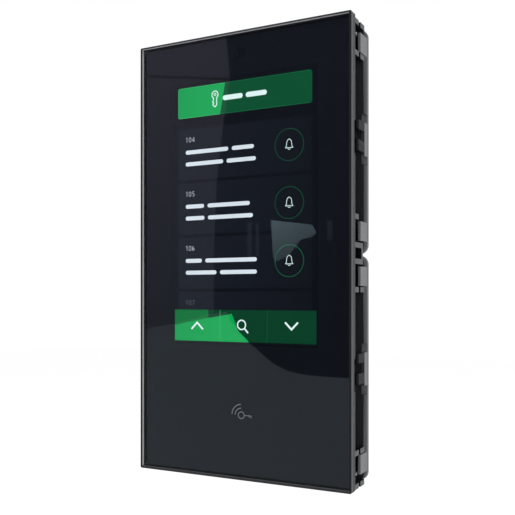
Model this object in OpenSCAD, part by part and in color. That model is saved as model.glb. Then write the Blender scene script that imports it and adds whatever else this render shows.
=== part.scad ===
// Outdoor door intercom: a touch display behind one glass front. The front sits on a
// carrier frame that is clipped onto two rear housings, and those are bolted to a wall.
// Origin: centre of the rear face. +X right, +Y into the wall, +Z up, millimetres.
// Names that end in _d are depths, counted from the front rim towards the wall.

/* [Front panel] */
// Width of the front
panel_w = 193; // [190:0.5:194]
// Height of the front
panel_h = 356; // [355:0.5:362]
// Depth from the front rim to the wall
panel_d = 38; // [38:0.1:39]
// Corner radius of the front
corner_r = 1.2; // [0.8:0.1:2]
// Width of the metal rim
rim_w = 1.2; // [1:0.1:1.5]
// Depth of the metal rim
rim_d = 2.4; // [2.2:0.1:2.6]

/* [Glass] */
// Depth of the glass surface behind the rim
glass_d = 2.1; // [2:0.1:2.2]
// Thickness of the front glass
glass_t = 3; // [2.9:0.1:3.1]
// Width of the seal around the glass
seal_w = 1.3; // [1:0.1:1.5]
// Thickness of the printed mask behind the glass
mask_t = 0.3; // [0.2:0.1:0.3]

/* [Display] */
// Width of the visible picture
view_w = 135.4; // [130:0.1:138]
// Height of the visible picture
view_h = 216.6; // [210:0.1:220]
// Height of the picture's centre above the panel's centre
display_z = 36; // [30:0.5:39]
// Width of the display module
cell_w = 143; // [141:0.5:145]
// Height of the display module
cell_h = 228.6; // [224:0.5:230]

/* [Carrier frame] */
// Depth of the flange's rear face
flange_d = 7.4; // [7.2:0.1:7.8]
// Inset of the inner frame's side walls from the flange
skirt_inset = 5; // [4.5:0.1:5.1]
// Inset of the inner frame's top and bottom walls
skirt_inset_z = 1.6; // [1.5:0.1:1.8]
// Depth of the inner frame's rear edge
skirt_d = 25; // [24.5:0.1:25]
// Thickness of the inner frame's walls
skirt_t = 2.2; // [1.8:0.1:2.2]
// Height of one rib
rib_h = 4; // [3:0.1:4.2]
// Depth of the front ribs' rear ends
rib_d = 16.5; // [15:0.1:17]
// Gap between a rib's outer face and the flange's edge
rib_inset = 0.7; // [0.5:0.1:1]

/* [Rear housings] */
// Inset of the housings from the panel's sides
rear_inset = 0.8; // [0.7:0.1:1.2]
// Inset of the housings from the panel's top and bottom
rear_inset_z = 1.5; // [1.5:0.1:2.5]
// Gap between the upper and the lower housing
rear_gap = 1.2; // [0.8:0.1:2]
// Corner radius of a housing
rear_r = 7; // [6:0.5:8]
// Depth where the housing's wall begins
tray_d = 25.4; // [25.4:0.1:26]
// Depth where the housing's wide rim begins
tray_rim_d = 27.2; // [27:0.1:27.4]
// Depth of the back plate's inner face
tray_floor_d = 35.5; // [35.4:0.1:35.8]

/* [Clips and pads] */
// Height of the clips above and below the centre
clip_z = 88.8; // [80:0.1:95]
// Height of one clip
clip_h = 25.6; // [24:0.1:27]
// Way that a clip slides up and down
clip_travel = 6; // [4:0.5:6]
// Height of one side pad
pad_h = 14.7; // [12:0.1:15]

/* [Wall fixing] */
// Distance between the wall bolts across the width
bolt_x = 120; // [100:1:130]
// Distance between the wall bolts along the height
bolt_z = 240; // [232:1:244]
// Radius of a wall bolt hole
bolt_r = 2.6; // [2.1:0.1:3]
// Radius of the cable's way through the grommet
cable_r = 3.5; // [3:0.1:5]

/* [Hidden] */
$fn = 48;
SIDES = [["right", 1], ["left", -1]];
LEVELS = [["upper", 1], ["lower", -1]];
PAD_Z = [160.7, 17.2, -17.2, -160.7];
CLIP_ARMS = [[-10.6, -2.4], [5.5, 12.5]];

eps = 0.5;                                // how far a cut runs past a face
half_w = panel_w / 2;
half_h = panel_h / 2;
rib_x = half_w - rib_inset;               // outer face of the ribs and clips
skirt_x = half_w - skirt_inset;           // outer face of the inner frame's side wall
skirt_z = half_h - skirt_inset_z;
inner_w = 2 * (skirt_x - skirt_t);        // space inside the inner frame's walls
inner_h = 2 * (skirt_z - skirt_t);
glass_w = panel_w - 2 * (rim_w + seal_w);
glass_h = panel_h - 2 * (rim_w + seal_w);
glass_rear_d = glass_d + glass_t;
mask_rear_d = glass_rear_d + mask_t;
tape_t = 0.6;
tape_w = 7;
ledge_d = mask_rear_d + tape_t;           // face that carries the glass and its tape
ledge_t = 2;
plate_d = ledge_d + ledge_t;              // rear face of the carrier's front plate
touch_t = 0.5;
cell_d = 7.5;                             // front of the display cell
cell_t = 1.6;
backlight_d = cell_d + cell_t;
backlight_t = 4.2;
open_w = cell_w + 2;                      // opening in the carrier for the display
open_h = cell_h + 2;
cover_t = 2;
cover_d = skirt_d - cover_t;              // inner face of the back cover
cover_z = 160;
cover_screw_x = 82;
board_d = 15.4;
board_t = 1.6;
board_w = 150;
board_h = 110;
board_z = 44;
post_r = 3;
screw_r = 1.3;
screw_head_r = 2.4;
screw_head_h = 1.2;
camera_z = 162;
camera_r = 7;
lens_r = 5;
led_x = [-42, -30, 30, 42];
led_r = 2.4;
reader_z = -124;
speaker_z = -169.5;
speaker_w = 44;
microphone_x = 60;
lock_x = 72;
lock_d = 15.8;
lock_r = 1.6;
lock_head_r = 3;
lock_seat_z = -173.6;                     // face that the lock screws' heads rest on
lock_seat_t = 2.2;
lock_gap = 0.3;
notch_d = 5.7;                            // front of the flange's notches beside the clips
side_screw_z = 167.4;
side_screw_d = 20.3;
rear_x = half_w - rear_inset;             // outer face of a housing's rim
rear_top = half_h - rear_inset_z;
tray_h = rear_top - rear_gap / 2;
tray_z = rear_gap / 2 + tray_h / 2;
wall_inset = skirt_inset - rear_inset + 0.5; // from the rim to the narrower wall
wall_t = 2;
wall_x = rear_x - wall_inset;
cavity_w = 2 * (wall_x - wall_t);
cavity_h = tray_h - 2 * (wall_inset + wall_t);
clip_x = half_w - 2;                      // inner face of a clip
clip_d = 27.8;                            // front of a clip's spine
clip_arm_d = 16.5;
clip_foot_d = 28.6;
clip_foot_t = 2.4;
clip_foot_h = 10;
clip_gap = 0.4;
clip_rear_d = 35;
notch_h = clip_h + 2 * clip_travel + 2;
pad_x = half_w - 0.6;                     // outer face of the side pads
pad_d = [20, 33.6];                       // front and rear of the side pads
bridge_z = 6.15;
rib_z = [174, 150.4, 27.5, bridge_z, -bridge_z, -27.5, -150.4, -175.4];
rear_rib_z = [174, 150.4, -27.5, -150.4, -175.4];
bridge_d = [22.2, 25.1];
link_w = 80;
link_h = 60;
link_t = 2;
cable_z = -48;
grommet_r = 12;
connection_z = 66;
socket_x = [-9, 8];                       // sides of the network socket
window_x = 50;                            // middle of the cover's window for cables
window_z = -38;
tamper_x = 58;
tamper_z = -72;
tamper_r = 1.6;
reset_x = -58;
reset_r = 2.4;

// A flat piece with rounded corners, from depth d0 to depth d1
module plate(w, h, d0, d1, x = 0, z = 0, r = 0) {
    translate([x, d1 - panel_d, z])
        rotate([90, 0, 0])
            linear_extrude(d1 - d0)
                rounded(w, h, r);
}

module rounded(w, h, r) {
    if (r > 0) {
        square([w - 2 * r, h], center = true);
        square([w, h - 2 * r], center = true);
        for (sx = [-1, 1], sz = [-1, 1])
            translate([sx * (w / 2 - r), sz * (h / 2 - r)])
                circle(r);
    } else {
        square([w, h], center = true);
    }
}

// A box between two corners, with depths along Y
module block(x, d, z) {
    translate([x[0], d[0] - panel_d, z[0]])
        cube([x[1] - x[0], d[1] - d[0], z[1] - z[0]]);
}

// A round bar along the depth
module rod(r, d0, d1, x = 0, z = 0) {
    translate([x, d1 - panel_d, z])
        rotate([90, 0, 0])
            cylinder(r = r, h = d1 - d0);
}

// A round bar along X, from x0 to x1
module cross_rod(r, x0, x1, d, z) {
    translate([x0, d - panel_d, z])
        rotate([0, 90, 0])
            cylinder(r = r, h = x1 - x0);
}

// A flat ring of width t
module frame_ring(w, h, t, d0, d1, x = 0, z = 0, r = 0) {
    difference() {
        plate(w, h, d0, d1, x, z, r);
        plate(w - 2 * t, h - 2 * t, d0 - eps, d1 + eps, x, z, max(r - t, 0));
    }
}

// A screw with its head towards the front
module screw(x, z, head_d, length) {
    difference() {
        union() {
            rod(screw_head_r, head_d, head_d + screw_head_h, x, z);
            rod(screw_r, head_d + screw_head_h, head_d + screw_head_h + length, x, z);
        }
        translate([x, head_d + 0.7 - panel_d, z])
            rotate([90, 0, 0])
                cylinder(r = 1.1, h = 1.2, $fn = 6);
    }
}

module both_sides() {
    children();
    mirror([1, 0, 0])
        children();
}

function cover_posts() = [for (x = [-62, 62], z = [board_z - 46, board_z + 46]) [x, z]];
function cover_screw_points() =
    [for (x = [-cover_screw_x, cover_screw_x], z = [-cover_z, -56, 56, cover_z]) [x, z]];
function bolt_points(level) = [for (x = [-1, 1]) [x * bolt_x / 2, level * bolt_z / 2]];
function link_points(level) = [for (x = [-28, 28]) [x, level * 20]];

// ---- Rear housings -------------------------------------------------------------

module rear_housing(level) {
    z = level * tray_z;
    color("#26282b")
    difference() {
        union() {
            plate(2 * rear_x, tray_h, tray_rim_d, panel_d, 0, z, rear_r);
            plate(2 * wall_x, tray_h - 2 * wall_inset, tray_d, tray_rim_d + eps, 0, z,
                rear_r - wall_inset);
            rear_ribs(level);
        }
        housing_cavity(z);
        link_gap(level);
        both_sides() {
            clip_track(level * clip_z);
            pad_pockets(level);
        }
        for (p = bolt_points(level))
            rod(bolt_r, tray_floor_d - 4, panel_d + eps, p[0], p[1]);
        for (p = link_points(level))
            rod(screw_r, tray_floor_d - eps, panel_d + eps, p[0], p[1]);
        seal_groove(z);
        back_pockets(level);
        if (level < 0)
            rod(grommet_r, tray_floor_d - eps, panel_d + eps, 0, cable_z);
    }
}

// The hollow of a housing, which leaves the bolt bosses and board posts standing
module housing_cavity(z) {
    level = sign(z);
    difference() {
        plate(cavity_w, cavity_h, tray_d - eps, tray_floor_d, 0, z, 2);
        for (p = bolt_points(level))
            rod(6.5, tray_floor_d - 2.5, panel_d, p[0], p[1]);
        if (level > 0)
            for (x = [-30, 30], dz = [-20, 20])
                rod(post_r, 32.6, panel_d, x, connection_z + dz);
        if (level < 0)
            rod(4, 30.2, panel_d, tamper_x, tamper_z);
        for (x = [-45, 45])
            block([x - 0.8, x + 0.8], [30.5, panel_d], [z - cavity_h / 2, z - cavity_h / 2 + 9]);
        for (x = [-45, 45])
            block([x - 0.8, x + 0.8], [30.5, panel_d], [z + cavity_h / 2 - 9, z + cavity_h / 2]);
    }
}

// Gap in the facing walls, for the link plate and the wires
module link_gap(level) {
    block([-link_w / 2 - 1, link_w / 2 + 1], [27, tray_floor_d],
        level > 0 ? [-eps, 9] : [-9, eps]);
}

// Notch and slot in which one clip slides
module clip_track(z) {
    block([clip_x - 0.3, half_w], [tray_rim_d - 1, clip_rear_d + 0.3],
        [z - notch_h / 2, z + notch_h / 2]);
    slot_h = clip_foot_h + 2 * clip_travel + 1;
    block([wall_x - wall_t - 1, half_w],
        [clip_foot_d - clip_gap, clip_foot_d + clip_foot_t + clip_gap],
        [z - slot_h / 2, z + slot_h / 2]);
}

// Shallow pockets in the rim, into which the side pads are glued
module pad_pockets(level) {
    for (z = PAD_Z)
        if (z * level > 0)
            block([rear_x - 1.2, half_w], [tray_rim_d - eps, pad_d[1]],
                [z - pad_h / 2, z + pad_h / 2]);
}

module rear_ribs(level) {
    for (z = rear_rib_z)
        if (z * level > 0)
            both_sides() {
                block([wall_x - 1, rib_x], [tray_d, tray_rim_d + 1], [z - rib_h / 2, z + rib_h / 2]);
                block([skirt_x + 0.4, rib_x], [20, tray_d], [z - rib_h / 2, z + rib_h / 2]);
            }
}

module seal_groove(z) {
    frame_ring(172, 156, 2.4, panel_d - 1.2, panel_d + eps, 0, z, 7);
}

// Shallow pockets in the back plate, which leave a cross of ribs
module back_pockets(level) {
    for (x = [-42, 42])
        plate(56, 42, panel_d - 0.8, panel_d + eps, x, level * 88, 3);
    for (x = [-66, 66])
        plate(22, 34, panel_d - 0.8, panel_d + eps, x, level * 38, 3);
}

module wall_seal(level) {
    color("#101112")
        frame_ring(172, 156, 2.4, panel_d - 1.2, panel_d, 0, level * tray_z, 7);
}

module side_pad(side, z) {
    zz = [z - pad_h / 2, z + pad_h / 2];
    color("#85888b")
    mirror([side < 0 ? 1 : 0, 0, 0])
        union() {
            block([wall_x, pad_x], [tray_d, tray_rim_d], zz);
            block([half_w - 2.5, pad_x], [pad_d[0], tray_d], zz);
            block([rear_x - 1.2, pad_x], [tray_rim_d, pad_d[1]], zz);
        }
}

module link_plate() {
    color("#9a9c9e")
    difference() {
        plate(link_w, link_h, tray_floor_d - link_t, tray_floor_d, 0, 0, 4);
        for (p = concat(link_points(1), link_points(-1)))
            rod(screw_r, tray_floor_d - link_t - eps, tray_floor_d + eps, p[0], p[1]);
        plate(30, 10, tray_floor_d - link_t - eps, tray_floor_d + eps, 0, 0, 3);
    }
}

module link_screws() {
    color("#c9cacb")
        for (p = concat(link_points(1), link_points(-1)))
            screw(p[0], p[1], tray_floor_d - link_t - screw_head_h, 3.6);
}

module cable_grommet() {
    color("#17181a")
    difference() {
        union() {
            rod(grommet_r, tray_floor_d, panel_d, 0, cable_z);
            rod(grommet_r + 2, tray_floor_d - 1.5, tray_floor_d, 0, cable_z);
            rod(cable_r + 2, tray_floor_d - 4, tray_floor_d, 0, cable_z);
        }
        rod(cable_r, tray_floor_d - 5, panel_d + eps, 0, cable_z);
        frame_round(9.6, 7, panel_d - 1, panel_d + eps, cable_z);
    }
}

module frame_round(r_out, r_in, d0, d1, z) {
    difference() {
        rod(r_out, d0, d1, 0, z);
        rod(r_in, d0 - eps, d1 + eps, 0, z);
    }
}

module connection_board() {
    color("#1f6b3a")
    difference() {
        plate(72, 52, 31, 32.6, 0, connection_z, 2);
        block([socket_x[0] - 0.3, socket_x[1] + 0.3], [30, 33.6],
            [connection_z - 27, connection_z - 7.7]);
    }
}

module terminal_block() {
    color("#2f8f4e")
    difference() {
        block([-30, 6], [26.2, 31], [connection_z + 6, connection_z + 18]);
        for (i = [0:5])
            rod(1.7, 25.7, 28.6, -27 + 6 * i, connection_z + 14.5);
        for (i = [0:5])
            block([-28.9 + 6 * i, -25.1 + 6 * i], [27, 30], [connection_z + 5, connection_z + 9.5]);
    }
}

module network_socket() {
    color("#8d9094")
    difference() {
        block(socket_x, [25.8, 34.2], [connection_z - 28, connection_z - 8]);
        block([socket_x[0] + 2, socket_x[1] - 2], [26.6, 33.4],
            [connection_z - 28 - eps, connection_z - 13]);
    }
}

// ---- Clips ---------------------------------------------------------------------

// A C-shaped clip: spine, two forward arms, and a headed foot in the housing's slot
module slide_clip(side, z) {
    spine = [z - clip_h / 2, z + clip_h / 2];
    color("#717477")
    mirror([side < 0 ? 1 : 0, 0, 0])
        union() {
            block([clip_x, rib_x], [clip_d, clip_rear_d], spine);
            for (dz = CLIP_ARMS)
                block([clip_x, rib_x], [clip_arm_d, clip_d], [z + dz[0], z + dz[1]]);
            block([wall_x - wall_t - 0.8, clip_x], [clip_foot_d, clip_foot_d + clip_foot_t],
                [z - clip_foot_h / 2, z + clip_foot_h / 2]);
            block([wall_x - wall_t - 2.6, wall_x - wall_t - clip_gap],
                [clip_foot_d - 1.2, clip_foot_d + clip_foot_t + 1.2],
                [z - clip_foot_h / 2 - 3, z + clip_foot_h / 2 + 3]);
        }
}

// ---- Front: rim, glass and display ----------------------------------------------

module trim_frame() {
    color("#35373a")
        frame_ring(panel_w, panel_h, rim_w, 0, rim_d, 0, 0, corner_r);
}

module front_glass() {
    color("#10131c", 0.5)
        plate(glass_w, glass_h, glass_d, glass_rear_d, 0, 0, 0.6);
}

module glass_seal() {
    color("#0a0a0b")
        frame_ring(glass_w + 2 * seal_w, glass_h + 2 * seal_w, seal_w, glass_d, mask_rear_d);
}

module glass_mask() {
    color("#090b11")
    difference() {
        plate(glass_w, glass_h, glass_rear_d, mask_rear_d);
        plate(view_w, view_h, glass_rear_d - eps, mask_rear_d + eps, 0, display_z);
        rod(lens_r - 1, glass_rear_d - eps, mask_rear_d + eps, 0, camera_z);
    }
}

module glass_tape() {
    color("#1c1c1e")
        frame_ring(glass_w - 2, glass_h - 2, tape_w, mask_rear_d, ledge_d);
}

module touch_panel() {
    color("#a9b4bd", 0.3)
        plate(open_w - 1, open_h - 1, mask_rear_d, mask_rear_d + touch_t, 0, display_z);
}

module display_cell() {
    color("#0d1018")
        plate(cell_w, cell_h, cell_d, backlight_d, 0, display_z);
}

module display_backlight() {
    color("#b9bcbf")
    difference() {
        plate(cell_w, cell_h, backlight_d, backlight_d + backlight_t, 0, display_z, 1);
        for (z = [-70, 0, 70])
            plate(110, 50, backlight_d + backlight_t - 0.6, backlight_d + backlight_t + eps, 0,
                display_z + z, 4);
    }
}

function bracket_points(side) = [for (z = [-70, 0, 70]) [side * 78, display_z + z]];

// A folded strip that holds one long edge of the display module to the carrier
module display_bracket(side) {
    back_d = backlight_d + backlight_t;
    inner = cell_w / 2 - 6;
    color("#a4a7aa")
    difference() {
        mirror([side < 0 ? 1 : 0, 0, 0]) {
            block([inner, cell_w / 2 + 1], [back_d, back_d + 1], [display_z - 84, display_z + 84]);
            block([cell_w / 2 + 0.2, cell_w / 2 + 1], [plate_d, back_d + 0.5],
                [display_z - 84, display_z + 84]);
            block([cell_w / 2 + 0.2, cell_w / 2 + 12], [plate_d, plate_d + 1],
                [display_z - 84, display_z + 84]);
        }
        for (p = bracket_points(side))
            rod(screw_r, plate_d - eps, plate_d + 1 + eps, p[0], p[1]);
    }
}

module bracket_screws() {
    color("#c9cacb")
        for (side = [-1, 1], p = bracket_points(side)) {
            rod(screw_head_r, plate_d + 1, plate_d + 1 + screw_head_h, p[0], p[1]);
            rod(screw_r, plate_d - 1.4, plate_d + 1 + screw_head_h / 2, p[0], p[1]);
        }
}

// ---- Carrier frame, inner frame and back cover --------------------------------------

module carrier_frame() {
    color("#54565a")
    difference() {
        union() {
            plate(panel_w, panel_h, rim_d, flange_d, 0, 0, corner_r);
            plate(2 * skirt_x, 2 * skirt_z, flange_d - eps, plate_d);
            both_sides()
                side_ribs();
        }
        plate(glass_w + 2 * seal_w, glass_h + 2 * seal_w, rim_d - eps, mask_rear_d);
        plate(glass_w - 2, glass_h - 2, mask_rear_d - eps, ledge_d);
        plate(open_w, open_h, ledge_d - eps, plate_d + eps, 0, display_z);
        carrier_holes();
        both_sides()
            for (level = [-1, 1])
                block([skirt_x + 1.7, half_w + eps], [notch_d, flange_d + eps],
                    [level * clip_z - 15, level * clip_z + 9.6]);
    }
}

// Ribs beside the inner frame, and the bridge across the housings' gap
module side_ribs() {
    for (z = rib_z)
        block([skirt_x, rib_x], [flange_d - eps, abs(z) < 10 ? bridge_d[1] : rib_d],
            [z - rib_h / 2, z + rib_h / 2]);
    block([skirt_x, rib_x], bridge_d, [-bridge_z, bridge_z]);
}

module carrier_holes() {
    rod(camera_r - 1, ledge_d - eps, plate_d + eps, 0, camera_z);
    for (x = led_x)
        rod(led_r + 0.3, ledge_d - eps, plate_d + eps, x, camera_z);
    rod(2.2, ledge_d - eps, plate_d + eps, 62, camera_z);
    for (side = [-1, 1], p = bracket_points(side))
        rod(screw_r, plate_d - 1.5, plate_d + eps, p[0], p[1]);
}

// The dark wall round the electronics, with bosses for the cover's screws
module inner_frame() {
    color("#141517")
    difference() {
        union() {
            plate(2 * skirt_x, 2 * skirt_z, plate_d, skirt_d, 0, 0, 3);
            both_sides()
                catch_lugs();
        }
        difference() {
            plate(inner_w, inner_h, plate_d - eps, skirt_d + eps, 0, 0, 1.5);
            for (p = cover_screw_points())
                plate(13, 10, 14.2, cover_d, sign(p[0]) * (cover_screw_x + 1.5), p[1], 2);
            for (side = [-1, 1])
                block([side * lock_x - 6, side * lock_x + 6], [plate_d, 21.4],
                    [-skirt_z, lock_seat_z + lock_seat_t]);
        }
        for (p = cover_screw_points())
            rod(screw_r, cover_d - 8, cover_d + eps, p[0], p[1]);
        for (x = [-16:8:16])
            block([x - 2, x + 2], [12, 20], [-half_h, 1 - skirt_z + skirt_t]);
        for (side = [-1, 1])
            bottom_holes(side);
        both_sides()
            for (level = [-1, 1])
                cross_rod(1, skirt_x - skirt_t - eps, skirt_x + eps, side_screw_d,
                    level * side_screw_z);
    }
}

// Lugs that stand just in front of the clips' arms
module catch_lugs() {
    for (level = [-1, 1], dz = CLIP_ARMS)
        block([skirt_x - 1, half_w - 1.3], [14, clip_arm_d - clip_gap],
            [level * clip_z + dz[0], level * clip_z + dz[1]]);
}

// Microphone hole, and the lock screw's bore with a pocket for its head
module bottom_holes(side) {
    translate([side * microphone_x, 14 - panel_d, -half_h])
        cylinder(r = 1.2, h = half_h - skirt_z + skirt_t + eps);
    translate([side * lock_x, lock_d - panel_d, -half_h]) {
        cylinder(r = lock_r + lock_gap, h = half_h + lock_seat_z + lock_seat_t + eps);
        cylinder(r = lock_head_r + 0.5, h = half_h + lock_seat_z);
    }
}

module side_screws() {
    color("#d6d7d8")
    both_sides()
        for (level = [-1, 1]) {
            cross_rod(1, skirt_x - skirt_t - 1, skirt_x, side_screw_d, level * side_screw_z);
            difference() {
                cross_rod(1.9, skirt_x, skirt_x + 1, side_screw_d, level * side_screw_z);
                cross_slot(level * side_screw_z);
            }
        }
}

module cross_slot(z) {
    block([skirt_x + 0.6, skirt_x + 1 + eps], [side_screw_d - 1.2, side_screw_d + 1.2],
        [z - 0.25, z + 0.25]);
    block([skirt_x + 0.6, skirt_x + 1 + eps], [side_screw_d - 0.25, side_screw_d + 0.25],
        [z - 1.2, z + 1.2]);
}

module back_cover() {
    color("#3b3d41")
    difference() {
        union() {
            plate(inner_w - 0.4, inner_h - 0.4, cover_d, skirt_d, 0, 0, 1.3);
            for (p = cover_posts())
                rod(post_r, board_d + board_t, cover_d + eps, p[0], p[1]);
            for (z = [-138, -104])
                block([-70, 70], [cover_d - 2, cover_d + eps], [z - 0.8, z + 0.8]);
        }
        for (p = cover_screw_points())
            rod(screw_r + 0.2, cover_d - eps, skirt_d + eps, p[0], p[1]);
        for (p = cover_posts())
            rod(screw_r, board_d, cover_d - 1, p[0], p[1]);
        rod(tamper_r + 0.3, cover_d - eps, skirt_d + eps, tamper_x, tamper_z);
        rod(reset_r + 0.3, cover_d - eps, skirt_d + eps, reset_x, tamper_z);
        plate(26, 9, cover_d - eps, skirt_d + eps, -30, board_z - 44, 1);
        plate(20, 10, cover_d - eps, skirt_d + eps, window_x, window_z, 2);
        for (z = [-130:20:130])
            if (abs(z) > 20)
                plate(60, 6, skirt_d - 0.8, skirt_d + eps, 0, z, 2.9);
    }
}

module cover_gasket() {
    color("#141516")
        frame_ring(150, inner_h - 8, 2.5, cover_d - 1.4, cover_d, 0, 0, 3);
}

module cover_screws() {
    color("#c9cacb")
        for (p = cover_screw_points()) {
            rod(screw_r, cover_d - 6, skirt_d - 0.2, p[0], p[1]);
            difference() {
                rod(screw_head_r, skirt_d, skirt_d + 0.35, p[0], p[1]);
                plate(2.6, 0.5, skirt_d + 0.15, skirt_d + eps, p[0], p[1]);
            }
            rod(screw_r, skirt_d - 0.3, skirt_d + 0.1, p[0], p[1]);
        }
}

// ---- Electronics ------------------------------------------------------------------

module main_board() {
    color("#1f5f38")
    difference() {
        plate(board_w, board_h, board_d, board_d + board_t, 0, board_z, 2);
        for (p = cover_posts())
            rod(screw_r, board_d - eps, board_d + board_t + eps, p[0], p[1]);
    }
}

module board_screws() {
    color("#c9cacb")
        for (p = cover_posts())
            screw(p[0], p[1], board_d - screw_head_h, 5);
}

module processor_shield() {
    color("#b4b7ba")
        plate(44, 40, board_d + board_t, 19.4, 10, board_z + 8, 1);
}

module thermal_pad() {
    color("#7d8fa8")
        plate(38, 34, 19.4, 20.4, 10, board_z + 8);
}

module heat_spreader() {
    color("#a8abae")
    difference() {
        plate(70, 60, 20.4, cover_d, 10, board_z + 8, 2);
        for (x = [-24:8:24])
            block([10 + x - 2, 10 + x + 2], [cover_d - 1.4, cover_d + eps],
                [board_z - 16, board_z + 32]);
    }
}

module camera_body() {
    color("#202226")
    difference() {
        union() {
            plate(24, 17, plate_d + 2, 16, 0, camera_z, 1.5);
            rod(camera_r, plate_d + 1.4, plate_d + 2 + eps, 0, camera_z);
        }
        rod(lens_r, plate_d + 1, 12, 0, camera_z);
    }
}

module camera_lens() {
    color("#0c1526", 0.8)
    translate([0, 12 - panel_d, camera_z])
        rotate([90, 0, 0])
            rotate_extrude()
                polygon([[0, 0], [lens_r, 0], [lens_r, 3], [lens_r - 1, 4.2], [lens_r - 2.6, 4.9],
                    [0, 5.2]]);
}

module infrared_board() {
    color("#20663b")
    difference() {
        plate(96, 17, plate_d + 0.1, plate_d + 1.3, 0, camera_z, 1.5);
        rod(camera_r + 0.3, plate_d - eps, plate_d + 1.3 + eps, 0, camera_z);
    }
    color("#3a2230")
        for (x = led_x)
            rod(led_r, ledge_d + 0.1, plate_d + 0.3, x, camera_z);
}

module light_sensor() {
    color("#2c2e33") {
        plate(9, 9, plate_d, plate_d + 1.6, 62, camera_z, 0.8);
        rod(1.9, ledge_d + 0.1, plate_d + 0.2, 62, camera_z);
    }
}

module reader_board() {
    color("#1b5a35")
        plate(74, 38, plate_d + 0.4, plate_d + 2, 0, reader_z, 2);
}

module reader_coil() {
    color("#b87333")
        for (i = [0:3])
            frame_ring(68 - 5 * i, 33 - 5 * i, 1.2, plate_d + 0.2, plate_d + 0.4, 0, reader_z, 4);
}

module speaker_box() {
    color("#222427")
    difference() {
        block([-34, 34], [10, 20.8], [speaker_z, speaker_z + 21]);
        block([-32.4, 32.4], [11.6, 19.2], [speaker_z - eps, speaker_z + 19.4]);
    }
}

module speaker() {
    color("#4a4c50")
    difference() {
        union() {
            block([-speaker_w / 2, speaker_w / 2], [10.4, 20.4], [speaker_z - 4, speaker_z]);
            block([-14, 14], [13, 19], [speaker_z, speaker_z + 7]);
        }
        block([-speaker_w / 2 + 2, speaker_w / 2 - 2], [12.2, 18.8],
            [speaker_z - 4 - eps, speaker_z - 2]);
    }
}

module microphone(side) {
    mic_z = 1 - skirt_z + skirt_t;
    color("#1a1b1d")
        translate([side * microphone_x, 14 - panel_d, mic_z - 0.9])
            cylinder(r = 3.2, h = 4.5);
}

module tamper_switch() {
    color("#2a2c30")
    difference() {
        block([tamper_x - 5, tamper_x + 5], [18, cover_d], [tamper_z - 3.5, tamper_z + 3.5]);
        rod(tamper_r + 0.3, 19.4, cover_d + eps, tamper_x, tamper_z);
    }
}

module board_socket() {
    color("#c8b98a")
        plate(25, 8, board_d + board_t, skirt_d - 0.6, -30, board_z - 44, 0.6);
}

// ---- Small moving pieces -----------------------------------------------------------

module tamper_plunger() {
    color("#e3e4e5")
        rod(tamper_r, 21.2, 29.9, tamper_x, tamper_z);
}

module reset_button() {
    color("#9c2f2f") {
        rod(reset_r, 20.5, skirt_d + 1.2, reset_x, tamper_z);
        rod(reset_r + 1.2, 20, 21, reset_x, tamper_z);
    }
}

module lock_screw(side) {
    seat = lock_seat_z - lock_gap;
    color("#8e9194")
    translate([side * lock_x, lock_d - panel_d, 0])
        difference() {
            union() {
                translate([0, 0, seat - 2.6])
                    cylinder(r = lock_head_r, h = 2.6);
                translate([0, 0, seat - 0.5])
                    cylinder(r = lock_r, h = 10);
                translate([0, 0, lock_seat_z + lock_seat_t + lock_gap])
                    cylinder(r = lock_r + 1, h = 0.8);
            }
            translate([0, 0, seat - 3])
                cylinder(r = 1.5, h = 2, $fn = 6);
        }
}

// ---- The nodes ----------------------------------------------------------------------

for (l = LEVELS) {
    rear_housing(l[1]);
    wall_seal(l[1]);
}
for (s = SIDES) {
    for (i = [0:3])
        side_pad(s[1], PAD_Z[i]);
    for (l = LEVELS)
        slide_clip(s[1], l[1] * clip_z);
    display_bracket(s[1]);
    microphone(s[1]);
    lock_screw(s[1]);
}
link_plate();
link_screws();
cable_grommet();
connection_board();
terminal_block();
network_socket();
trim_frame();
front_glass();
glass_seal();
glass_mask();
glass_tape();
touch_panel();
display_cell();
display_backlight();
bracket_screws();
carrier_frame();
inner_frame();
back_cover();
cover_gasket();
cover_screws();
main_board();
board_screws();
processor_shield();
thermal_pad();
heat_spreader();
camera_body();
camera_lens();
infrared_board();
light_sensor();
reader_board();
reader_coil();
speaker();
speaker_box();
tamper_switch();
side_screws();
board_socket();
tamper_plunger();
reset_button();
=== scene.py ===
import math

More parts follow.
